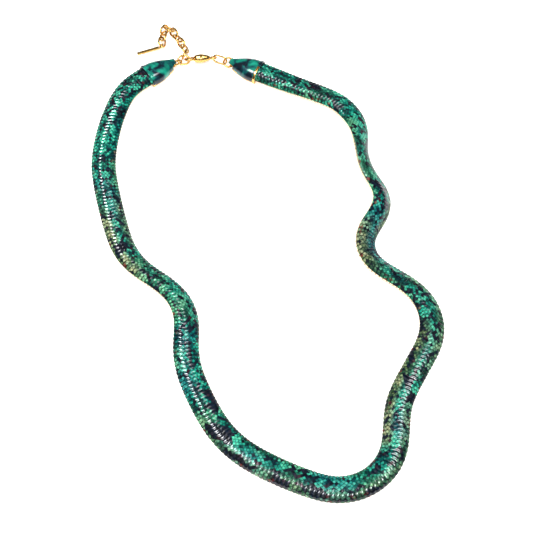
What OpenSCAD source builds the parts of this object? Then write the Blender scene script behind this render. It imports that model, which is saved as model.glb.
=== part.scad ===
// Snake choker: a domed snake chain between two tapered end caps, closed by a sprung
// clasp and a short extender of oval links with a bar at its end.
// It lies as a loop on a flat surface, z = 0.

/* [Snake chain] */
// Width of the chain across its domed face
chain_w = 8.0; // [7.4:0.1:8.2]
// Thickness of the chain from its flat back to its crest
chain_t = 3.6; // [3.0:0.1:3.8]
// Distance between the sections that the chain is drawn through
chain_step = 2.6; // [2:0.1:5]

/* [End caps] */
// Length of a cap from its tip to its mouth
cap_len = 11.2; // [10.5:0.1:11.6]
// Width of the rim round a cap's mouth
cap_w = 9.0; // [8.9:0.1:9.6]
// Height of the rim round a cap's mouth
cap_h = 4.7; // [4.6:0.1:5.2]
// Metal left under the chain inside a cap
cap_floor = 0.4; // [0.35:0.05:0.5]
// Diameter of the post in a cap's tip that holds a link
post_d = 0.8; // [0.6:0.05:0.8]

/* [Extender] */
// Length of an extender link over its wire
link_len = 4.4; // [4.4:0.05:4.5]
// Width of an extender link over its wire
link_w = 3.3; // [3.3:0.05:3.35]
// Wire thickness of an extender link
link_wire = 0.7; // [0.6:0.05:0.7]
// Length of the bar at the end of the extender
bar_len = 7.8; // [6:0.2:9]
// Width of the bar
bar_w = 1.0; // [0.8:0.1:1.4]
// Thickness of the bar
bar_t = 0.5; // [0.4:0.05:0.6]

/* [Clasp] */
// Radius of the hook's wire centreline
hook_r = 1.5; // [1.5:0.02:1.56]
// Wire thickness of the hook
hook_wire = 0.8; // [0.7:0.05:0.8]
// Distance from the hook's centre to the centre of the eye
eye_x = 7.9; // [7.8:0.05:8]
// Largest diameter of the clasp's rounded body
body_d = 3.0; // [2.6:0.05:3]
// Diameter of the lever's pin
pin_d = 0.6; // [0.5:0.02:0.6]
// Radial clearance between the pin and the lever
pin_fit = 0.06; // [0.03:0.01:0.08]
// Thickness of the lever
lever_t = 0.8; // [0.7:0.05:0.8]

/* [Rings] */
// Centreline radius of the jump ring
ring_r = 1.75; // [1.75:0.01:1.77]
// Wire thickness of the jump ring
ring_wire = 0.7; // [0.6:0.05:0.7]
// Length of the small link next to the clasp
clasp_link_len = 5.3; // [5.3:0.05:5.4]
// Width of the small link next to the clasp
clasp_link_w = 3.2; // [3.2:0.05:3.25]
// Wire thickness of the small link
clasp_link_wire = 0.6; // [0.5:0.05:0.6]

/* [Hidden] */
$fn = 48;

// Run of the chain and its two caps over the surface, from the left cap's tip to the
// right cap's tip: distance along the run, heading, roll of the face to the right
RUN_START = [-29.7, 70.2];
RUN = [
    [  0, -145,   0],
    [ 14, -145,   0],
    [ 24, -109,   8],
    [ 48,  -91,   0],
    [ 56,  -78,   0],
    [ 80,  -72, -12],
    [ 97,  -35, -25],
    [104,  -38, -25],
    [120,  -92, -20],
    [124,  -92, -15],
    [136,  -69,   0],
    [151,  -60,   0],
    [169,  -30,   8],
    [189,  -18,   5],
    [219,   85,   0],
    [226,   85,   0],
    [235,   62,   5],
    [250,   60,  10],
    [274,  145,  28],
    [284,  145,  30],
    [300,   56,  50],
    [306,   61,  50],
    [317,  125,  46],
    [331,   93,  70],
    [338,   90,  45],
    [345,  111,  20],
    [358,  155,  12],
    [364,  155,  12],
    [380,  155,   0],
    [394,  155,   0]
];
run_len = RUN[len(RUN) - 1][0];
HEADING = [for (row = RUN) [row[0], row[1]]];
ROLL = [for (row = RUN) [row[0], row[2]]];

// Height of the chain's lowest edge over the surface, raised where a cap holds it:
// distance along the run, lift
fit_gap = 0.1;
cap_lift = cap_floor + fit_gap;
LIFT = [[0, cap_lift], [cap_len, cap_lift], [24, 0],
    [370, 0], [run_len - cap_len, cap_lift], [run_len, cap_lift]];

// How far the chain's end sits inside a cap
seat_depth = 3;
chain_start = cap_len - seat_depth;
chain_end = run_len - chain_start;

// Value of a table of the run at distance s, eased over 4 mm each way
function eased(s, t) =
    (lookup(s - 4, t) + 2 * lookup(s - 2, t) + 2 * lookup(s, t)
    + 2 * lookup(s + 2, t) + lookup(s + 4, t)) / 8;

// Points of the run on the surface, one for each millimetre
PATH = [for (i = 0, p = RUN_START; i <= run_len;
    h = eased(i + 0.5, HEADING), p = p + [cos(h), sin(h)], i = i + 1) p];

function path_at(s) =
    let (i = min(floor(s), run_len - 1))
    PATH[i] + (s - i) * (PATH[i + 1] - PATH[i]);

// Signed power, which squares or sharpens the shoulders of a section
function shoulder(v, e) = sign(v) * pow(abs(v), e);

// Section of the chain: a dome over a shallow, nearly flat back, across and up
chain_sides = 16;
dome_share = 0.64;
side_curve = 0.9;
back_curve = 0.55;
function chain_section(w, t) = [for (i = [0:chain_sides - 1])
    let (a = 360 * i / chain_sides)
    [w / 2 * shoulder(cos(a), side_curve),
     sin(a) > 0 ? dome_share * t * sin(a) : (1 - dome_share) * t * shoulder(sin(a), back_curve)]];

// One section of the chain in place: it is rolled about the run and let down
// until its lowest point reaches the lift there
function chain_ring(s) =
    let (h = eased(s, HEADING), r = eased(s, ROLL), p = path_at(s),
        left = [-sin(h), cos(h), 0],
        across = left * cos(r) + [0, 0, sin(r)],
        up = [0, 0, cos(r)] - left * sin(r),
        pts = [for (q = chain_section(chain_w, chain_t)) q.x * across + q.y * up],
        low = min([for (q = pts) q.z]))
    [for (q = pts) q + [p.x, p.y, lookup(s, LIFT) - low]];

// Closed body drawn through a list of rings, each with the same number of points
module loft(rings) {
    n = len(rings[0]);
    m = len(rings);
    polyhedron(
        points = [for (ring = rings) each ring],
        faces = concat(
            [[for (i = [0:n - 1]) i]],
            [for (k = [0:m - 2], i = [0:n - 1]) [(k + 1) * n + i, k * n + (i + 1) % n, k * n + i]],
            [for (k = [0:m - 2], i = [0:n - 1])
                [(k + 1) * n + i, (k + 1) * n + (i + 1) % n, k * n + (i + 1) % n]],
            [[for (i = [n - 1:-1:0]) (m - 1) * n + i]]));
}

module snake_chain() {
    count = ceil((chain_end - chain_start) / chain_step);
    color("teal")
        loft([for (i = [0:count]) chain_ring(chain_start + (chain_end - chain_start) * i / count)]);
}

// Outline of a cap: distance from its tip, width, height
rim_len = 0.7;
rim_rise = 0.3;
CAP = [
    [0, 3.2, 2.65],
    [1, 3.7, 2.9],
    [2.5, 4.9, 3.4],
    [4, 6.1, 3.85],
    [5.5, 7.2, 4.2],
    [7, 8.1, 4.4],
    [8.5, 8.6, 4.5],
    [cap_len - rim_len - rim_rise, 8.7, 4.5],
    [cap_len - rim_len, cap_w, cap_h],
    [cap_len, cap_w, cap_h]
];
cap_sides = 20;
cap_waist = 0.35;
cap_side_curve = 0.85;
cap_back_curve = 0.5;
under = 0.3;

// Section of a cap at distance u from its tip: a dome from the waist up, and a
// shallow back that reaches a little below the surface so that it can be cut flat
function cap_ring(u, w, h) = [for (i = [0:cap_sides - 1])
    let (a = 360 * i / cap_sides, waist = cap_waist * h)
    [u, w / 2 * shoulder(cos(a), cap_side_curve),
     waist + (sin(a) > 0 ? (h - waist) * sin(a) : (waist + under) * shoulder(sin(a), cap_back_curve))]];

// Slot in a cap's tip for the link, round the post
slot_len = 1.9;
slot_low = 0.25;
slot_high = 2.25;
tongue_w = 1.2;
post_u = 0.5;
far = 20;

// A cap with its tip at the origin and its mouth along +X
module cap_shape() {
    difference() {
        loft([for (row = CAP) cap_ring(row[0], row[1], row[2])]);
        // flat underside
        translate([-1, -far / 2, -far]) cube([far, far, far]);
        // pocket for the chain's end
        loft([for (u = [chain_start - fit_gap, cap_len + 1])
            [for (q = chain_section(chain_w + 2 * fit_gap, chain_t + 2 * fit_gap))
                [u, q.x, q.y + cap_lift + (1 - dome_share) * chain_t]]]);
        // slot through the tip, open at the front and on both sides
        translate([-1, -far / 2, slot_low]) cube([slot_len + 1, far, slot_high - slot_low]);
        for (side = [-1, 1])
            translate([-1, side > 0 ? tongue_w / 2 : -far / 2 - tongue_w / 2, -1])
                cube([slot_len + 1, far / 2, slot_high]);
    }
    // post that the link passes round
    translate([post_u, 0, slot_low / 2]) cylinder(d = post_d, h = slot_high);
}

module end_cap_left() {
    color("teal")
        translate([RUN_START.x, RUN_START.y, 0]) rotate([0, 0, HEADING[0][1]]) cap_shape();
}

module end_cap_right() {
    color("teal")
        translate([PATH[run_len].x, PATH[run_len].y, 0])
            rotate([0, 0, HEADING[len(RUN) - 1][1] + 180]) cap_shape();
}

// An oval link of round wire, lying in its own plane with its length along X
module wire_link(length, width, wire) {
    bend = (width - wire) / 2;
    straight = length - width;
    for (side = [-1, 1]) {
        translate([side * straight / 2, 0, 0]) rotate([0, 0, -side * 90])
            rotate_extrude(angle = 180) translate([bend, 0]) circle(d = wire, $fn = 24);
        translate([0, side * bend, 0]) rotate([0, 90, 0])
            cylinder(d = wire, h = straight, center = true, $fn = 24);
    }
}

module wire_ring(radius, wire) {
    rotate_extrude() translate([radius, 0]) circle(d = wire, $fn = 24);
}

// Extender links from the left cap to the bar, each lying on the surface:
// centre x and y, heading, roll, extra height
LINKS = [
    [-29.3, 70.4,  25, -25, 0.0],
    [-26.8, 71.5,   7,  30, 0.1],
    [-26.6, 73.7,  75, -65, 0.0],
    [-26.6, 76.4, 110,  40, 0.0],
    [-27.9, 78.7, 122, -55, 0.0],
    [-29.2, 80.9, 128,  35, 0.1],
    [-30.6, 83.2, 122, -50, 0.0],
    [-32.3, 85.1, 148,  35, 0.0],
    [-33.9, 84.4, 240, -55, 0.0],
    [-34.2, 82.0, 268,  40, 0.0],
    [-34.5, 79.2, 265, -40, 0.1]
];
// The second link, which the clasp hooks into, is a little larger all round
hooked_link = 1;
hooked_extra = [0.2, 0.3];

module extender_link(i) {
    row = LINKS[i];
    bend = (link_w - link_wire) / 2;
    extra = i == hooked_link ? hooked_extra : [0, 0];
    color("gold")
        translate([row[0], row[1], link_wire / 2 + bend * sin(abs(row[3])) + row[4]])
            rotate([row[3], 0, row[2]])
                wire_link(link_len + extra[0], link_w + extra[1], link_wire);
}

module extender_link_1() { extender_link(0); }
module extender_link_2() { extender_link(1); }
module extender_link_3() { extender_link(2); }
module extender_link_4() { extender_link(3); }
module extender_link_5() { extender_link(4); }
module extender_link_6() { extender_link(5); }
module extender_link_7() { extender_link(6); }
module extender_link_8() { extender_link(7); }
module extender_link_9() { extender_link(8); }
module extender_link_10() { extender_link(9); }
module extender_link_11() { extender_link(10); }

// Bar with a ring soldered to its end, which hangs in the last link
bar_ring_at = [-34.8, 77.4, 1.2];
bar_ring_turn = [50, 0, 245];
bar_ring_r = 0.95;
bar_ring_wire = 0.6;
bar_from = [-35.5, 77.0, 0.95];
bar_turn = [0, 4.5, 197];

module bar_tag() {
    color("gold") {
        translate(bar_ring_at) rotate(bar_ring_turn) wire_ring(bar_ring_r, bar_ring_wire);
        translate(bar_from) rotate(bar_turn) {
            translate([0, -bar_w / 2, -bar_t / 2]) cube([bar_len - bar_w / 2, bar_w, bar_t]);
            translate([bar_len - bar_w / 2, 0, -bar_t / 2]) cylinder(d = bar_w, h = bar_t);
        }
    }
}

// Clasp, drawn flat with the hook's centre at the origin and the eye along +X,
// then turned into place
clasp_at = [-24.7, 71.6, 1.45];
clasp_turn = [-38, 0, 5];
hook_from = 85;
hook_to = 335;
tip_share = 0.96;
eye_y = -0.4;
eye_ring_r = 1.1;
eye_wire = 0.68;
body_y = -0.25;
pin_at = [3.4, 0.5];
pin_grip = 0.35;
slot_w = 1.0;
slot_floor = -0.45;
slot_from = 0.9;
slot_to = 4.2;

// Outline of the clasp's body: distance from the hook's centre, share of the diameter
BODY = [[1.2, 0.3], [1.4, 0.5], [1.8, 0.75], [2.4, 0.92], [3.4, 1.0],
    [4.2, 0.98], [5.0, 0.88], [5.8, 0.72], [6.6, 0.52], [6.9, 0.4]];

module clasp_frame() {
    translate(clasp_at) rotate(clasp_turn) children();
}

module clasp_body() {
    color("gold") clasp_frame() {
        // hook, with a round tip
        rotate([0, 0, hook_from]) rotate_extrude(angle = hook_to - hook_from)
            translate([hook_r, 0]) circle(d = hook_wire, $fn = 24);
        rotate([0, 0, hook_from]) translate([hook_r, 0, 0]) sphere(d = tip_share * hook_wire);
        // rounded body with a slot for the lever
        difference() {
            translate([0, body_y, 0]) rotate([0, 90, 0]) rotate_extrude()
                polygon(concat([[0, BODY[0][0]]],
                    [for (row = BODY) [row[1] * body_d / 2, row[0]]],
                    [[0, BODY[len(BODY) - 1][0]]]));
            translate([slot_from, slot_floor, -slot_w / 2])
                cube([slot_to - slot_from, body_d, slot_w]);
        }
        // pin across the slot
        translate([pin_at.x, pin_at.y, 0]) cylinder(d = pin_d, h = slot_w + 2 * pin_grip, center = true);
        // eye
        translate([eye_x, eye_y, 0]) wire_ring(eye_ring_r, eye_wire);
    }
}

// Lever: a gate that meets the hook's tip, a hub round the pin and a thumb tab
gate_half = 0.28;
gate_from = 35;
gate_to = 67;
hub_r = 0.65;
arm_low = pin_at - [0.2, 0.6];
arm_high = pin_at + [0, 0.6];
tab_at = [3.7, 1.35];
tab_r = 0.35;
tab_foot = [pin_at + [-0.4, 0.2], pin_at + [0.6, 0.1]];

module clasp_lever() {
    inner = hook_r - gate_half;
    outer = hook_r + gate_half;
    color("gold") clasp_frame() difference() {
        union() {
            rotate([0, 0, gate_from]) rotate_extrude(angle = gate_to - gate_from)
                translate([inner, -lever_t / 2]) square([2 * gate_half, lever_t]);
            translate([0, 0, -lever_t / 2]) linear_extrude(lever_t) union() {
                polygon([
                    inner * [cos(gate_from), sin(gate_from)],
                    arm_low,
                    arm_high,
                    outer * [cos(gate_from), sin(gate_from)]]);
                translate(pin_at) circle(r = hub_r);
                polygon([tab_foot[0], tab_foot[1], tab_at + [tab_r, 0], tab_at - [tab_r, 0]]);
                translate(tab_at) circle(r = tab_r);
            }
        }
        translate([pin_at.x, pin_at.y, 0])
            cylinder(d = pin_d + 2 * pin_fit, h = lever_t + 1, center = true);
    }
}

// Small link through the clasp's eye, and the jump ring round the right cap's post
clasp_link_at = [-14.4, 71.2, 1.6];
clasp_link_turn = [65, 5, -20];
jump_ring_at = [-11.4, 70.2, 1.4];
jump_ring_turn = [10, 0, 0];

module clasp_link() {
    color("gold") translate(clasp_link_at) rotate(clasp_link_turn)
        wire_link(clasp_link_len, clasp_link_w, clasp_link_wire);
}

module jump_ring() {
    color("gold") translate(jump_ring_at) rotate(jump_ring_turn)
        wire_ring(ring_r, ring_wire);
}

snake_chain();
end_cap_left();
end_cap_right();
clasp_body();
clasp_lever();
clasp_link();
jump_ring();
extender_link_1();
extender_link_2();
extender_link_3();
extender_link_4();
extender_link_5();
extender_link_6();
extender_link_7();
extender_link_8();
extender_link_9();
extender_link_10();
extender_link_11();
bar_tag();
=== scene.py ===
import math

import bpy
import numpy as np
from mathutils import Matrix, Vector


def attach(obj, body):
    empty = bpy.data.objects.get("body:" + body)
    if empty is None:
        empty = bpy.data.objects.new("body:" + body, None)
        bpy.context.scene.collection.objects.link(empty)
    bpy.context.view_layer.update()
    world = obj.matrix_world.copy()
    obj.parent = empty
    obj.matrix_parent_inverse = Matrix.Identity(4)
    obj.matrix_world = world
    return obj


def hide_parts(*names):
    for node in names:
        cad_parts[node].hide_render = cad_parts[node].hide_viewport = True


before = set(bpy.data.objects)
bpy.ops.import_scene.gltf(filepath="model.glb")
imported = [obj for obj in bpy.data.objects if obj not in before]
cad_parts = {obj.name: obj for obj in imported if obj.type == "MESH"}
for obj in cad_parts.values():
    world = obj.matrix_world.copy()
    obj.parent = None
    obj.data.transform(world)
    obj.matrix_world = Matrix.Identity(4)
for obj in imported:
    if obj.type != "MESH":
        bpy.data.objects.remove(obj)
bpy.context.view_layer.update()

MM = 0.001

# Snake chain
# Some three hundred thin rings of pressed brass, each bent to a zigzag and slipped into the
# next so that they lie like scales. The strand is rolled to a domed strip and gold plated,
# its face is printed and lacquered, and it lies loose on the table.

# Run over the table from the left cap's tip to the right cap's tip:
# distance along the run in mm, heading and roll of the face to the right in degrees
RUN_START = (-29.7, 70.2)
RUN = np.array([
    (0, -145, 0),
    (14, -145, 0),
    (24, -109, 8),
    (48, -91, 0),
    (56, -78, 0),
    (80, -72, -12),
    (97, -35, -25),
    (104, -38, -25),
    (120, -92, -20),
    (124, -92, -15),
    (136, -69, 0),
    (151, -60, 0),
    (169, -30, 8),
    (189, -18, 5),
    (219, 85, 0),
    (226, 85, 0),
    (235, 62, 5),
    (250, 60, 10),
    (274, 145, 28),
    (284, 145, 30),
    (300, 56, 50),
    (306, 61, 50),
    (317, 125, 46),
    (331, 93, 70),
    (338, 90, 45),
    (345, 111, 20),
    (358, 155, 12),
    (364, 155, 12),
    (380, 155, 0),
    (394, 155, 0),
], float)
run_len = RUN[-1, 0]

# Columns of that table, and the step in mm over which they are eased
heading_column = 1
roll_column = 2
run_ease = 2

# Height of the chain's lowest edge over the table, which is raised where a cap holds it:
# distance along the run and height in mm
cap_len = 11.2
cap_lift = 0.5
LIFT = np.array([
    (0, cap_lift),
    (cap_len, cap_lift),
    (24, 0),
    (370, 0),
    (run_len - cap_len, cap_lift),
    (run_len, cap_lift),
])

# Section of the strip in mm, a dome over a shallow back, and how deep its ends sit in the caps
chain_w = 8.0
chain_t = 3.6
dome_share = 0.64
side_curve = 0.9
back_curve = 0.55
seat_depth = 3.0

# Rings of the strip in mm: pitch, half a wave of the zigzag across the face, its height along
# the chain, where round the girth it fades out, and how far from the strip's ends it is full
ring_pitch = 1.25
wave_half = 1.9
wave_rise = 0.4
wave_ends = (2.6, 4.6)
end_blend = 3

# How deep the gaps between two rings are on the face and the flanks, and how unevenly the
# plates between the creases lie, all in mm
gap_face = 0.19
gap_flank = 0.2
creases_aside = 4
uneven_height = 0.03
uneven_tip = 0.07
ring_seed = 5

# Stretch where the chain is rolled furthest and its own weight presses the rings shut: from
# and to along the run in mm, how softly it starts and ends, and by what share they are shut
pressed_from = 300
pressed_to = 348
pressed_soft = 5
pressed_share = 0.7

# Mesh: the rows of a ring as shares of its pitch, the girth of half the face in mm, the
# columns on half the face and on half the back, the steps of the outline that they are read
# from, and the step in mm along the run at which its lowest edge is found
RING_STATIONS = np.array([0, 0.08, 0.25, 0.5, 0.75, 0.92])
face_half = 5.0
face_columns = 20
back_columns = 5
outline_steps = 1440
mark_step = 0.5


def eased(table, column, at, step):
    """A column of a table at some distances, eased over two steps each way."""
    shares = ((-2, 1), (-1, 2), (0, 2), (1, 2), (2, 1))
    total = sum(share for _, share in shares)
    return sum(
        share * np.interp(at + count * step, table[:, 0], table[:, column])
        for count, share in shares) / total


def smooth(x, low, high):
    """0 below low, 1 above high and an even curve between."""
    t = np.clip((x - low) / (high - low), 0, 1)
    return t * t * (3 - 2 * t)


def band(x, low, high, soft):
    """1 from low to high and 0 outside, softened over a length each way."""
    return smooth(x, low - soft, low + soft) * (1 - smooth(x, high - soft, high + soft))


# Route on the table, a point for each millimetre
headings = np.radians(eased(RUN, heading_column, np.arange(run_len) + 0.5, run_ease))
strides = np.column_stack((np.cos(headings), np.sin(headings)))
route = np.array(RUN_START) + np.vstack(([0, 0], np.cumsum(strides, axis=0)))

# Outline of the section, from the middle of the back over the left edge and the crest,
# with its distance round the girth from the crest and its outward direction
turn = np.radians(np.linspace(-90, 270, outline_steps + 1))
outline_x = chain_w / 2 * np.sign(np.cos(turn)) * np.abs(np.cos(turn)) ** side_curve
outline_y = np.where(
    np.sin(turn) > 0,
    dome_share * chain_t * np.sin(turn),
    -(1 - dome_share) * chain_t * np.abs(np.sin(turn)) ** back_curve)
sides = np.hypot(np.diff(outline_x), np.diff(outline_y))
girth = np.concatenate(([0], np.cumsum(sides)))
half_girth = girth[-1] / 2
girth = girth - half_girth
out_x = np.gradient(outline_y)
out_y = -np.gradient(outline_x)
out_size = np.hypot(out_x, out_y)

# Columns of the mesh round the girth: close together on the face, wide apart on the back
face = np.linspace(-face_half, face_half, 2 * face_columns + 1)
back = np.linspace(face_half, half_girth, back_columns + 1)[1:]
columns = np.concatenate((-back[-2::-1], face, back))
col_x = np.interp(columns, girth, outline_x)
col_y = np.interp(columns, girth, outline_y)
col_out_x = np.interp(columns, girth, out_x / out_size)
col_out_y = np.interp(columns, girth, out_y / out_size)

# Rows of the mesh along the strip, six to each ring, which follow the ring's zigzag. edge is
# 1 at a ring's two edges and 0 at its middle
start = cap_len - seat_depth
end = run_len - start
rings = round((end - start) / ring_pitch)
ring_pitch = (end - start) / rings
ring_share = np.append((np.arange(rings)[:, None] + RING_STATIONS).ravel(), rings)
rows = start + ring_share * ring_pitch
in_ring = ring_share % 1
edge = (2 * in_ring - 1) ** 2

arm = columns / wave_half + 0.5
wave = 1 - np.abs(arm % 2 - 1)
on_face = 1 - smooth(np.abs(columns), *wave_ends)
free_of_ends = (
    smooth(rows, start, start + end_blend) * (1 - smooth(rows, end - end_blend, end)))
along = rows[:, None] + wave_rise * (wave * on_face) * free_of_ends[:, None]

# No two plates lie quite alike: each crease of each ring has a height and a tip of its own
draw = np.random.default_rng(ring_seed)
creases = (np.arange(-creases_aside, creases_aside + 1) + 0.5) * wave_half


def uneven(size):
    """Random heights of up to size at the creases of each ring, run on between them."""
    at_creases = draw.uniform(-size, size, (rings + 1, len(creases)))
    by_ring = np.array([np.interp(columns, creases, heights) for heights in at_creases])
    return np.repeat(by_ring, len(RING_STATIONS), axis=0)[:len(rows)] * on_face


# Each point sinks into the gaps between the rings, less so where they are pressed shut
shut = 1 - pressed_share * band(rows, pressed_from, pressed_to, pressed_soft)
depth = shut[:, None] * (
    edge[:, None] * (gap_flank + (gap_face - gap_flank) * on_face)
    + uneven(uneven_height) + uneven(uneven_tip) * (in_ring[:, None] - 0.5))
px = col_x - depth * col_out_x
py = col_y - depth * col_out_y

# The section stands square to the route, rolled about it and let down onto its lowest edge
marks = np.arange(0, run_len + mark_step, mark_step)
rolls = np.radians(eased(RUN, roll_column, marks, run_ease))
lows = np.array([np.min(outline_x * math.sin(r) + outline_y * math.cos(r)) for r in rolls])
heading = np.radians(eased(RUN, heading_column, along, run_ease))
roll = np.radians(eased(RUN, roll_column, along, run_ease))
reach = px * np.cos(roll) - py * np.sin(roll)
rise = px * np.sin(roll) + py * np.cos(roll)
route_at = np.arange(len(route))
chain_points = np.stack((
    np.interp(along, route_at, route[:, 0]) - reach * np.sin(heading),
    np.interp(along, route_at, route[:, 1]) + reach * np.cos(heading),
    rise + np.interp(along, LIFT[:, 0], LIFT[:, 1]) - np.interp(along, marks, lows),
), axis=-1) * MM

row_count, column_count = along.shape
row, column = np.meshgrid(np.arange(row_count - 1), np.arange(column_count), indexing="ij")
corner_rows = np.stack((row, row, row + 1, row + 1), axis=-1)
corner_columns = np.stack((column, column + 1, column + 1, column), axis=-1)
quads = (corner_rows * column_count + corner_columns % column_count).reshape(-1, 4)
first_end = list(range(column_count))[::-1]
last_end = [first + (row_count - 1) * column_count for first in range(column_count)]
chain_faces = quads.tolist() + [first_end, last_end]

chain_mesh = bpy.data.meshes.new("snake_chain_rings")
chain_mesh.from_pydata(chain_points.reshape(-1, 3).tolist(), [], chain_faces)
chain_mesh.shade_smooth()

# The print is laid out in millimetres round the girth from the crest and along the chain,
# with how close each point lies to a gap between two rings, which sets the painted shade in
# the gaps. The two cut ends are bare
wrapped = np.append(columns, half_girth * 2 + columns[0])
print_at = np.stack((
    wrapped[corner_columns],
    along[corner_rows, corner_columns % column_count],
    (shut * edge ** 2)[corner_rows]), axis=-1).reshape(-1, 3)
print_at = np.vstack((print_at, np.tile((half_girth, 0, 1), (2 * column_count, 1))))

# Stretches where the ink came out thin on one flank: distances along the run in mm, the
# side, 1 for the right one and -1 for the left, and how thin. Below them how softly each
# starts and ends, and where round the girth from the crest it starts and is full, in mm
THIN_INK = (
    (66, 86, -1, 0.6),
    (70, 96, 1, 1.0),
    (150, 232, 1, 0.5),
    (216, 258, -1, 1.0),
    (240, 276, 1, 0.5),
    (284, 300, -1, 1.0),
    (298, 318, 1, 0.9),
)
thin_soft = 4
thin_from_crest = (0.3, 2.4)
thin_at = np.clip(sum(
    thinness * band(print_at[:, 1], low, high, thin_soft)
    * smooth(print_at[:, 0] * side, *thin_from_crest)
    for low, high, side, thinness in THIN_INK), 0, 1)

# Where the clear lacquer lies thick: distance along the run, its left and its right limit
# round the girth from the crest, and how softly it ends there, all in mm
LACQUER = np.array([
    (0, -1.6, 2.8),
    (24, -0.8, 2.6),
    (150, -0.8, 2.6),
    (172, 1.2, 4.4),
    (204, 1.2, 4.4),
    (216, -0.4, 2.8),
    (258, -0.4, 2.4),
    (266, -2.2, 0.6),
    (284, -2.2, 0.6),
    (292, -3.2, -0.4),
    (300, -1.2, 1.2),
    (312, -1.2, 1.2),
    (320, -4.9, -2.6),
    (344, -4.9, -2.6),
    (356, -2.8, 1.0),
    (394, -2.8, 1.0),
])
lacquer_soft = 0.8
lacquer_from = np.interp(print_at[:, 1], LACQUER[:, 0], LACQUER[:, 1])
lacquer_to = np.interp(print_at[:, 1], LACQUER[:, 0], LACQUER[:, 2])
lacquer_at = band(print_at[:, 0], lacquer_from, lacquer_to, lacquer_soft)

for layer, kind, field, values in (
        ("print_mm", "FLOAT_VECTOR", "vector", print_at),
        ("thin_ink", "FLOAT", "value", thin_at),
        ("lacquer", "FLOAT", "value", lacquer_at)):
    made = chain_mesh.attributes.new(layer, kind, "CORNER")
    made.data.foreach_set(field, values.astype(np.float32).ravel())


def put(name, data):
    """An object in the scene that shows a mesh, a lamp or a camera."""
    made = bpy.data.objects.new(name, data)
    bpy.context.scene.collection.objects.link(made)
    return made


def blank_material(name):
    """A new material and its empty node tree."""
    made = bpy.data.materials.new(name)
    made.use_nodes = True
    made.node_tree.nodes.clear()
    return made, made.node_tree


def linear(hex_colour):
    """An sRGB hex colour as linear red, green, blue and alpha."""
    parts = [int(hex_colour[i:i + 2], 16) / 255 for i in (1, 3, 5)]
    return [p / 12.92 if p <= 0.04045 else ((p + 0.055) / 1.055) ** 2.4 for p in parts] + [1.0]


def add(tree, kind, inputs=None, stops=(), **settings):
    """Adds a node. inputs holds values, or other nodes' outputs to link, by socket."""
    made = tree.nodes.new(kind)
    for name, value in settings.items():
        setattr(made, name, value)
    for socket, value in (inputs or {}).items():
        if isinstance(value, bpy.types.NodeSocket):
            tree.links.new(value, made.inputs[socket])
        else:
            made.inputs[socket].default_value = value
    if stops:
        ramp = made.color_ramp.elements
        ramp.remove(ramp[1])
        ramp[0].position, ramp[0].color = stops[0][0], linear(stops[0][1])
        for place, colour in stops[1:]:
            ramp.new(place).color = linear(colour)
    return made


# Printed lacquer: a snake skin pattern in teal, emerald and near black, printed on the
# rolled and plated strip and sealed with clear lacquer. The metal under the thin ink gives
# each ring a satin glint of its own colour, and the lacquer a white one.

# Sizes of the print: a scale's width and length in mm, then in scales a patch, how far its
# edge wanders, how quickly that changes from scale to scale, and how far it is from swell to
# swell of the strokes, of the tone and of the bluer and greener stretches
scale_w = 1.1
scale_l = 1.45
patch_scales = 4.0
wander_scales = 2.6
wander_rate = 0.31
stroke_swell = 7
tone_swell = 2.4
blue_swell = 16
leaf_swell = 13

# Thinnest and thickest stroke, as a share of a patch, the share of patches that are filled
# with dark, and the share of scales that aren't rust red
stroke_w = (0.02, 0.2)
filled_share = 0.045
not_rust = 0.965

# Distances round the girth from the crest in mm, over which the flanks start, the painted
# shade in the gaps between the rings deepens and the print ends at the bare edge
flank_span = (2.4, 4.4)
gap_shade_span = (1.5, 3.2)
bare_span = (4.95, 5.2)

# How much of the painted shade in a gap shows on the face, and how much metal shows under
# thick lacquer
gap_shade_on_face = 0.32
metal_share = 0.25

print_lacquer, tree = blank_material("printed_lacquer_on_gold_plate")
at = add(tree, "ShaderNodeAttribute", attribute_name="print_mm").outputs["Vector"]
at_parts = add(tree, "ShaderNodeSeparateXYZ", {"Vector": at})
from_crest = add(
    tree, "ShaderNodeMath", {0: at_parts.outputs["X"]}, operation="ABSOLUTE").outputs[0]
flank = add(
    tree, "ShaderNodeMapRange",
    {"Value": from_crest, "From Min": flank_span[0], "From Max": flank_span[1]},
    interpolation_type="SMOOTHSTEP").outputs[0]

# Diamond scales of the print, counted along their two slanting rows, each with a number
lattice = add(
    tree, "ShaderNodeMapping",
    {"Vector": at, "Rotation": (0, 0, math.radians(45)),
     "Scale": (math.sqrt(2) / scale_w, math.sqrt(2) / scale_l, 0)}).outputs[0]
scale_id = add(tree, "ShaderNodeVectorMath", {0: lattice}, operation="FLOOR").outputs[0]
in_scale = add(tree, "ShaderNodeVectorMath", {0: lattice}, operation="FRACTION").outputs[0]
own = add(
    tree, "ShaderNodeTexWhiteNoise", {"Vector": scale_id},
    noise_dimensions="3D").outputs["Value"]

# Patches of a few scales, with edges that wander and step from scale to scale
wander = add(
    tree, "ShaderNodeTexNoise", {"Vector": scale_id, "Scale": wander_rate, "Detail": 1.0})
shift = add(
    tree, "ShaderNodeVectorMath",
    {0: wander.outputs["Color"], 1: (wander_scales,) * 3}, operation="MULTIPLY").outputs[0]
stepped = add(
    tree, "ShaderNodeVectorMath", {0: scale_id, 1: shift}, operation="ADD").outputs[0]

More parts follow.
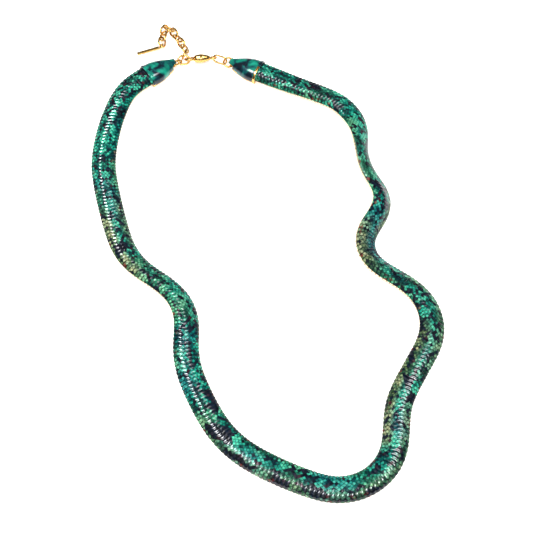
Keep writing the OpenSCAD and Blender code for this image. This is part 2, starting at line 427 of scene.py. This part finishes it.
# Dark strokes run between the patches, thick in places and broken off in others, and a few
# patches are filled with dark. The strokes, the blue and the leaf green each swell and fade
# on their own, so each reads a slice of its own of the noise
cells = {"Vector": stepped, "Scale": 1 / patch_scales, "Randomness": 0.9}
nearest, second = [
    add(tree, "ShaderNodeTexVoronoi", cells, voronoi_dimensions="2D", distance="MANHATTAN",
        feature=feature) for feature in ("F1", "F2")]
cell = add(tree, "ShaderNodeSeparateColor", {"Color": nearest.outputs["Color"]})
apart = add(
    tree, "ShaderNodeMath",
    {0: second.outputs["Distance"], 1: nearest.outputs["Distance"]},
    operation="SUBTRACT").outputs[0]
stroke_field, blue_field, leaf_field = [
    add(tree, "ShaderNodeTexNoise",
        {"Vector": lattice, "Scale": 1 / swell, "Detail": 1.0, "W": slice_w},
        noise_dimensions="4D").outputs[0]
    for swell, slice_w in ((stroke_swell, 2.3), (blue_swell, 5.1), (leaf_swell, 8.7))]
weight = add(
    tree, "ShaderNodeMapRange",
    {"Value": stroke_field, "From Min": 0.34, "From Max": 0.68, "To Min": stroke_w[0],
     "To Max": stroke_w[1]}).outputs[0]
stroke = add(tree, "ShaderNodeMath", {0: apart, 1: weight}, operation="LESS_THAN").outputs[0]
filled = add(
    tree, "ShaderNodeMath", {0: cell.outputs["Red"], 1: filled_share},
    operation="LESS_THAN").outputs[0]
dark = add(tree, "ShaderNodeMath", {0: stroke, 1: filled}, operation="MAXIMUM").outputs[0]

# The tone differs from patch to patch and scale to scale, and is darker at a patch's rim
tide = add(
    tree, "ShaderNodeTexNoise",
    {"Vector": lattice, "Scale": 1 / tone_swell, "Detail": 2.0}).outputs[0]
from_middle = add(
    tree, "ShaderNodeMath", {0: nearest.outputs["Distance"], 1: -0.3, 2: tide},
    operation="MULTIPLY_ADD").outputs[0]
by_cell = add(
    tree, "ShaderNodeMath", {0: cell.outputs["Green"], 1: 0.35, 2: from_middle},
    operation="MULTIPLY_ADD").outputs[0]
tone = add(
    tree, "ShaderNodeMath", {0: own, 1: 0.4, 2: by_cell}, operation="MULTIPLY_ADD").outputs[0]

# The ground goes from blue through teal to green along the chain, greener on the flanks
teal = add(
    tree, "ShaderNodeValToRGB", {"Fac": tone},
    stops=((0.42, "#031c26"), (0.55, "#053f3e"), (0.68, "#086c5c"), (0.82, "#1a9880"),
           (0.96, "#48b795"))).outputs[0]
blue = add(
    tree, "ShaderNodeValToRGB", {"Fac": tone},
    stops=((0.4, "#071c30"), (0.7, "#0c4656"), (1.0, "#34848a"))).outputs[0]
leaf = add(
    tree, "ShaderNodeValToRGB", {"Fac": tone},
    stops=((0.4, "#0a3a2e"), (0.7, "#26704e"), (1.0, "#68ad80"))).outputs[0]
blue_share = add(
    tree, "ShaderNodeMapRange",
    {"Value": blue_field, "From Min": 0.54, "From Max": 0.68, "To Max": 0.7}).outputs[0]
blued = add(
    tree, "ShaderNodeMix", {"Factor": blue_share, "A": teal, "B": blue},
    data_type="RGBA").outputs["Result"]
leafy = add(
    tree, "ShaderNodeMath", {0: flank, 1: 0.12, 2: leaf_field},
    operation="MULTIPLY_ADD").outputs[0]
leaf_share = add(
    tree, "ShaderNodeMapRange",
    {"Value": leafy, "From Min": 0.52, "From Max": 0.68, "To Max": 0.85}).outputs[0]
ground = add(
    tree, "ShaderNodeMix", {"Factor": leaf_share, "A": blued, "B": leaf},
    data_type="RGBA").outputs["Result"]

# The ink thins to olive and cream on some stretches of the flanks
worn = add(tree, "ShaderNodeAttribute", attribute_name="thin_ink").outputs["Fac"]
streaks = add(
    tree, "ShaderNodeMapRange",
    {"Value": tide, "From Min": 0.3, "From Max": 0.6, "To Min": 0.45}).outputs[0]
thin_share = add(
    tree, "ShaderNodeMath", {0: worn, 1: streaks}, operation="MULTIPLY").outputs[0]
olive = add(
    tree, "ShaderNodeValToRGB", {"Fac": tone},
    stops=((0.42, "#2a4226"), (0.68, "#5f7048"), (0.95, "#9a9c74"))).outputs[0]
thinned = add(
    tree, "ShaderNodeMix", {"Factor": thin_share, "A": ground, "B": olive},
    data_type="RGBA").outputs["Result"]

# A thin darker outline round each scale, the dark strokes over it, and a few scales on the
# flanks in rust red
centred = add(
    tree, "ShaderNodeVectorMath", {0: in_scale, 1: (0.5, 0.5, 0)},
    operation="SUBTRACT").outputs[0]
spread = add(tree, "ShaderNodeVectorMath", {0: centred}, operation="ABSOLUTE").outputs[0]
spread_parts = add(tree, "ShaderNodeSeparateXYZ", {"Vector": spread})
to_rim = add(
    tree, "ShaderNodeMath", {0: spread_parts.outputs["X"], 1: spread_parts.outputs["Y"]},
    operation="MAXIMUM").outputs[0]
rim = add(
    tree, "ShaderNodeMapRange",
    {"Value": to_rim, "From Min": 0.31, "From Max": 0.46, "To Max": 0.8}).outputs[0]
outlined = add(
    tree, "ShaderNodeMix", {"Factor": rim, "A": thinned, "B": linear("#041d1f")},
    data_type="RGBA").outputs["Result"]
dark_ink = add(
    tree, "ShaderNodeValToRGB", {"Fac": own},
    stops=((0.0, "#080a12"), (0.6, "#0c1726"), (0.85, "#1a1c28"), (1.0, "#34141e"))).outputs[0]
printed = add(
    tree, "ShaderNodeMix", {"Factor": dark, "A": outlined, "B": dark_ink},
    data_type="RGBA").outputs["Result"]
rust_pick = add(
    tree, "ShaderNodeMath", {0: own, 1: not_rust}, operation="GREATER_THAN").outputs[0]
rust_share = add(
    tree, "ShaderNodeMath", {0: rust_pick, 1: flank}, operation="MULTIPLY").outputs[0]
flecked = add(
    tree, "ShaderNodeMix", {"Factor": rust_share, "A": printed, "B": linear("#5e2620")},
    data_type="RGBA").outputs["Result"]

# Painted shade: the gaps between the rings are darkened towards near black, faintly on the
# face where they lie shut and more towards the flanks. Nothing is printed on the back, which
# stays gold, and its gaps are darkened to brown as painted shade
gap_shade = add(
    tree, "ShaderNodeMapRange",
    {"Value": at_parts.outputs["Z"], "From Min": 0.1, "From Max": 0.55,
     "To Max": 0.9}).outputs[0]
gap_shade_by_girth = add(
    tree, "ShaderNodeMapRange",
    {"Value": from_crest, "From Min": gap_shade_span[0], "From Max": gap_shade_span[1],
     "To Min": gap_shade_on_face}).outputs[0]
gap_shade_seen = add(
    tree, "ShaderNodeMath", {0: gap_shade, 1: gap_shade_by_girth}, operation="MULTIPLY").outputs[0]
gap_shaded = add(
    tree, "ShaderNodeMix", {"Factor": gap_shade_seen, "A": flecked, "B": linear("#03100e")},
    data_type="RGBA").outputs["Result"]
bare = add(
    tree, "ShaderNodeMapRange",
    {"Value": from_crest, "From Min": bare_span[0], "From Max": bare_span[1]}).outputs[0]
# Bare gold at the edge, pale cream, turning to a painted brown shade in the gaps between the
# rings
bare_gold_with_gap_shade = add(
    tree, "ShaderNodeMix", {"Factor": gap_shade, "A": linear("#efe0bd"), "B": linear("#6e5432")},
    data_type="RGBA").outputs["Result"]
surface = add(
    tree, "ShaderNodeMix", {"Factor": bare, "A": gap_shaded, "B": bare_gold_with_gap_shade},
    data_type="RGBA").outputs["Result"]

# The metal shows through where the lacquer lies thick and on the bare back, and the gloss
# is a little mottled
coat = add(tree, "ShaderNodeAttribute", attribute_name="lacquer").outputs["Fac"]
metal = add(
    tree, "ShaderNodeMath", {0: coat, 1: metal_share, 2: bare},
    operation="MULTIPLY_ADD").outputs[0]
mottle = add(
    tree, "ShaderNodeTexNoise", {"Vector": at, "Scale": 3.0, "Detail": 2.0}).outputs[0]
gloss = add(
    tree, "ShaderNodeMapRange",
    {"Value": mottle, "From Min": 0.3, "From Max": 0.7, "To Min": 0.2,
     "To Max": 0.34}).outputs[0]
lacquered = add(
    tree, "ShaderNodeBsdfPrincipled",
    {"Base Color": surface, "Metallic": metal, "Roughness": gloss,
     "Specular IOR Level": 0.06, "Coat Weight": coat, "Coat Roughness": 0.08})
add(tree, "ShaderNodeOutputMaterial", {"Surface": lacquered.outputs[0]})

chain = put("snake_chain_printed", chain_mesh)
chain_mesh.materials.append(print_lacquer)
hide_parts("snake_chain")
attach(chain, "choker")

# End caps
# Hollow caps die cast in zinc and gold plated, printed and lacquered like the chain, which
# is glued into the mouth. A post across the slot in the tip holds a link or a ring.

# Outline of a cap in mm: distance from its tip, width, height
CAP = np.array([
    (0, 3.2, 2.65),
    (1, 3.7, 2.9),
    (2.5, 4.9, 3.4),
    (4, 6.1, 3.85),
    (5.5, 7.2, 4.2),
    (7, 8.1, 4.4),
    (8.5, 8.6, 4.5),
    (10.2, 8.7, 4.5),
])

# Columns of that table, the step in mm over which they are eased, the sections and the sides
# of the mesh, and the angle in degrees from which an edge is sharp
width_column = 1
height_column = 2
cap_ease = 0.4
cap_stations = 42
cap_sides = 72
sharp_deg = 35

# Lip round the mouth in mm: width, height, where it starts, and the round of its corners,
# with the steps of that round in degrees
cap_w = 9.0
cap_h = 4.7
lip_from = 10.3
lip_round = 0.15
ROUND_STEPS = (0, 30, 60, 90)

# Section of a cap: where its sides are widest, as a share of its height, how full its sides
# and its underside are, and how much is cut off below to make it flat, in mm
cap_waist = 0.35
cap_side_curve = 0.85
cap_back_curve = 0.5
under = 0.3

# Slot across the tip, the tongue below it that the post stands on, and the post with how
# far it goes into the slot's roof, all in mm
slot_len = 1.9
slot_low = 0.25
slot_high = 2.25
tongue_w = 1.2
post_u = 0.5
post_d = 0.8
post_into = 0.1
post_sides = 24

# Room round the chain in the mouth, and how far a cutter reaches past what it cuts, in mm
pocket_room = 0.1
cut_over = 1
cut_past = 20

# Edges where the print ends and the plate shows, in mm: the tip, the foot, the slot's roof
# and the lip, which is bare up to a height, and on a worn side up to the crest
bare_tip = 0.2
bare_foot = 1.1
bare_roof = 0.05
bare_lip = 1.6
lip_edge = 0.35
worn_past = 0.2

# Printed lacquer on the caps: the same inks in broad soft blotches over the smooth casting,
# under a thick clear lacquer that mirrors the softboxes
blotch = 3.2
cap_lacquer, tree = blank_material("printed_lacquer_on_cast_cap")
at = add(tree, "ShaderNodeAttribute", attribute_name="print_mm").outputs["Vector"]
blotches = add(
    tree, "ShaderNodeTexNoise",
    {"Vector": at, "Scale": 1 / blotch, "Detail": 2.5, "Distortion": 0.7}).outputs[0]
cap_ink = add(
    tree, "ShaderNodeValToRGB", {"Fac": blotches},
    stops=((0.40, "#04121f"), (0.46, "#053a44"), (0.53, "#08705f"),
           (0.68, "#1b9c82"))).outputs[0]
cap_printed = add(
    tree, "ShaderNodeBsdfPrincipled",
    {"Base Color": cap_ink, "Metallic": 0.15, "Roughness": 0.3, "Specular IOR Level": 0.2,
     "Coat Weight": 0.6, "Coat Roughness": 0.04})
add(tree, "ShaderNodeOutputMaterial", {"Surface": cap_printed.outputs[0]})

# Gold plate: brass under a thin electroplated coat of yellow gold, barrel polished. It
# mirrors the room softly, with a faint grain from the barrel, which is drawn eight times as
# coarse as it is so that it shows.
grain = 0.05
grain_coarser = 8
gold_plate, tree = blank_material("polished_gold_plate_on_brass")
place = add(tree, "ShaderNodeTexCoord")
barrel = add(
    tree, "ShaderNodeTexNoise",
    {"Vector": place.outputs["Object"], "Scale": 1 / (grain_coarser * grain * MM),
     "Detail": 3.0}).outputs[0]
plate_tone = add(
    tree, "ShaderNodeValToRGB", {"Fac": barrel},
    stops=((0.3, "#c4954a"), (0.5, "#d8ad62"), (0.7, "#e8c585"))).outputs[0]
polish = add(
    tree, "ShaderNodeMapRange",
    {"Value": barrel, "From Min": 0.3, "From Max": 0.7, "To Min": 0.14,
     "To Max": 0.26}).outputs[0]
plated = add(
    tree, "ShaderNodeBsdfPrincipled",
    {"Base Color": plate_tone, "Metallic": 1.0, "Roughness": polish})
add(tree, "ShaderNodeOutputMaterial", {"Surface": plated.outputs[0]})


def ring_of(u, width, height):
    """A cap's section at distance u from its tip, in mm."""
    a = np.linspace(0, 2 * math.pi, cap_sides, endpoint=False)
    waist = cap_waist * height
    y = width / 2 * np.sign(np.cos(a)) * np.abs(np.cos(a)) ** cap_side_curve
    dome = (height - waist) * np.sin(a)
    hollow = -(waist + under) * np.abs(np.sin(a)) ** cap_back_curve
    z = waist + np.where(np.sin(a) > 0, dome, hollow)
    return np.column_stack((np.full(cap_sides, u), y, z))


def pocket_at(u, grow):
    """The chain's own section at distance u from a cap's tip, grown all round, in mm."""
    picks = np.linspace(-half_girth, half_girth, cap_sides, endpoint=False)
    y = np.interp(picks, girth, outline_x + grow * out_x / out_size)
    z = np.interp(picks, girth, outline_y + grow * out_y / out_size)
    middle = cap_lift + (1 - dome_share) * chain_t
    return np.column_stack((np.full(cap_sides, u), y, z + middle))


def skin(name, sections):
    """An object drawn through closed sections, with both ends shut."""
    n = len(sections[0])
    faces = [list(range(n))[::-1], [(len(sections) - 1) * n + i for i in range(n)]]
    for k in range(len(sections) - 1):
        faces += [[k * n + i, k * n + (i + 1) % n, (k + 1) * n + (i + 1) % n, (k + 1) * n + i]
                  for i in range(n)]
    mesh = bpy.data.meshes.new(name)
    mesh.from_pydata((np.vstack(sections) * MM).tolist(), [], faces)
    return put(name, mesh)


def block(low, high):
    """A box between two corners, in mm, that cuts into a cap."""
    base = ((low[0], low[1]), (high[0], low[1]), (high[0], high[1]), (low[0], high[1]))
    return skin("cutter", [np.array([(x, y, z) for x, y in base]) for z in (low[2], high[2])])


def make_cap(name, tip, heading_deg, worn_side):
    """A cap with its tip at a place on the table and its mouth along the heading. Its lip is
    bare up to the crest on the worn side, 1 or -1, or on neither for 0."""
    sections = []
    for u in np.linspace(0, CAP[-1, 0], cap_stations):
        width = eased(CAP, width_column, u, cap_ease)
        height = eased(CAP, height_column, u, cap_ease)
        sections.append(ring_of(u, width, height))
    corner = np.radians(ROUND_STEPS)
    for lip_u, inward, angles in ((lip_from, 1, corner), (cap_len, -1, corner[::-1])):
        for a in angles:
            u = lip_u + inward * lip_round * (1 - math.cos(a))
            drop = 2 * lip_round * (1 - math.sin(a))
            sections.append(ring_of(u, cap_w - drop, cap_h - drop / 2))
    cap = skin(name, sections)

    beside_top = slot_high - cut_over
    tongue_side = tongue_w / 2
    turns = np.linspace(0, 2 * math.pi, post_sides, endpoint=False)
    cutters = [
        block((-cut_over, -cut_past, -cut_past), (cut_past, cut_past, 0)),
        skin("cutter", [pocket_at(start - pocket_room, pocket_room),
                        pocket_at(cap_len + cut_over, pocket_room)]),
        block((-cut_over, -cut_past, slot_low), (slot_len, cut_past, slot_high)),
        block((-cut_over, tongue_side, -cut_over), (slot_len, cut_past, beside_top)),
        block((-cut_over, -cut_past, -cut_over), (slot_len, -tongue_side, beside_top)),
    ]
    post = skin("cutter", [
        np.array([(post_u + post_d / 2 * math.cos(a), post_d / 2 * math.sin(a), z)
                  for a in turns])
        for z in (slot_low / 2, slot_high + post_into)])
    for operation, others in (("DIFFERENCE", cutters), ("UNION", [post])):
        for other in others:
            step = cap.modifiers.new(operation.lower(), "BOOLEAN")
            step.operation = operation
            step.object = other
            step.solver = "EXACT"
    bpy.context.view_layer.update()
    evaluated = cap.evaluated_get(bpy.context.evaluated_depsgraph_get())
    cap.data = bpy.data.meshes.new_from_object(evaluated)
    cap.data.name = name
    cap.modifiers.clear()
    for other in cutters + [post]:
        bpy.data.objects.remove(other)

    mesh = cap.data
    mesh.shade_smooth()
    mesh.set_sharp_from_angle(angle=math.radians(sharp_deg))
    mesh.materials.clear()
    mesh.materials.append(cap_lacquer)
    mesh.materials.append(gold_plate)
    for polygon in mesh.polygons:
        u, v, z = polygon.center / MM
        clear_of_slot = u > slot_len or z > slot_high + bare_roof
        on_lip = u > lip_from + lip_edge and (z < bare_lip or v * worn_side > worn_past)
        inked = u > bare_tip and z > bare_foot and clear_of_slot and not on_lip
        polygon.material_index = 0 if inked else 1
    places = np.array([vertex.co for vertex in mesh.vertices]) / MM
    laid = np.column_stack((places[:, 1], places[:, 0] + tip[0], np.zeros(len(places))))
    layer = mesh.attributes.new("print_mm", "FLOAT_VECTOR", "POINT")
    layer.data.foreach_set("vector", laid.astype(np.float32).ravel())
    cap.matrix_world = (
        Matrix.Translation((tip[0] * MM, tip[1] * MM, 0))
        @ Matrix.Rotation(math.radians(heading_deg), 4, "Z"))
    return cap


for side, tip, heading_deg, worn_side in (
        ("left", route[0], RUN[0, heading_column], 0),
        ("right", route[-1], RUN[-1, heading_column] + 180, -1)):
    cap = make_cap("end_cap_" + side + "_cast", tip, heading_deg, worn_side)
    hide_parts("end_cap_" + side)
    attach(cap, "choker")

# Clasp, links, rings and bar
# The clasp is die cast and its lever turns on a pin under a small spring. The links and the
# rings are bent from round brass wire and soldered, and the bar is cut from flat wire. All
# are gold plated and barrel polished.
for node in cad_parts.values():
    if node.hide_render:
        continue
    node.data.materials.clear()
    node.data.materials.append(gold_plate)

# Table, lights and camera
# A table of opal acrylic lit from below, so that nothing casts a shadow on it, under three
# gridded softboxes, with a low fill from the front, in a pale room.
half_table = 2.0
table_z = -0.00005
table_mesh = bpy.data.meshes.new("table")
table_mesh.from_pydata(
    [(x * half_table, y * half_table, table_z)
     for x, y in ((-1, -1), (1, -1), (1, 1), (-1, 1))], [], [(0, 1, 2, 3)])
table = put("table", table_mesh)
opal, tree = blank_material("opal_acrylic_lit_from_below")
acrylic = add(
    tree, "ShaderNodeBsdfPrincipled",
    {"Base Color": linear("#f6f6f5"), "Roughness": 0.9, "Specular IOR Level": 0.1,
     "Emission Color": linear("#ffffff"), "Emission Strength": 0.4})
add(tree, "ShaderNodeOutputMaterial", {"Surface": acrylic.outputs[0]})
table_mesh.materials.append(opal)

# The room is pale above and darker towards the floor, which gives the polished metal its
# deep tones
room = bpy.data.worlds.new("pale_room")
room.use_nodes = True
tree = room.node_tree
tree.nodes.clear()
towards = add(tree, "ShaderNodeTexCoord")
height = add(
    tree, "ShaderNodeSeparateXYZ", {"Vector": towards.outputs["Generated"]}).outputs["Z"]
walls = add(
    tree, "ShaderNodeValToRGB", {"Fac": height},
    stops=((0.0, "#353638"), (0.25, "#68696b"), (0.6, "#d9dadb"), (1.0, "#f3f4f5"))).outputs[0]
room_light = add(tree, "ShaderNodeBackground", {"Color": walls, "Strength": 0.3})
add(tree, "ShaderNodeOutputWorld", {"Surface": room_light.outputs[0]})
bpy.context.scene.world = room

# Softboxes: name, place in metres, turn about x and y in degrees, width and depth in metres,
# spread of the grid in degrees, watts
LIGHTS = (
    ("left_softbox", (-0.24, 0.02, 0.65), (-2, -14), (0.2, 0.22), 42, 0.38),
    ("right_softbox", (0.26, 0.02, 0.64), (-2, 16), (0.2, 0.22), 42, 0.17),
    ("front_softbox", (0.0, -0.38, 0.60), (28, 0), (0.3, 0.14), 40, 0.2),
    ("front_fill", (0.10, -0.70, 0.50), (54, 6), (0.4, 0.4), 180, 0.55),
)
for name, place_at, turn_by, size, grid, watts in LIGHTS:
    lamp = bpy.data.lights.new(name, "AREA")
    lamp.shape = "RECTANGLE"
    lamp.size, lamp.size_y = size
    lamp.spread = math.radians(grid)
    lamp.energy = watts
    holder = put(name, lamp)
    holder.location = place_at
    holder.rotation_euler = (math.radians(turn_by[0]), math.radians(turn_by[1]), 0)

# The camera stands in front of the table and looks down on it, its places in mm
camera_at = Vector((4.5, -211.2, 343.8)) * MM
camera_aim = Vector((4.5, -12.7, 0)) * MM
camera_data = bpy.data.cameras.new("camera")
camera_data.lens = 84.0
camera_data.sensor_width = 36.0
camera = put("camera", camera_data)
camera.location = camera_at
camera.rotation_euler = (camera_aim - camera_at).to_track_quat("-Z", "Y").to_euler()
bpy.context.scene.camera = camera
bpy.context.scene.view_settings.view_transform = "Standard"
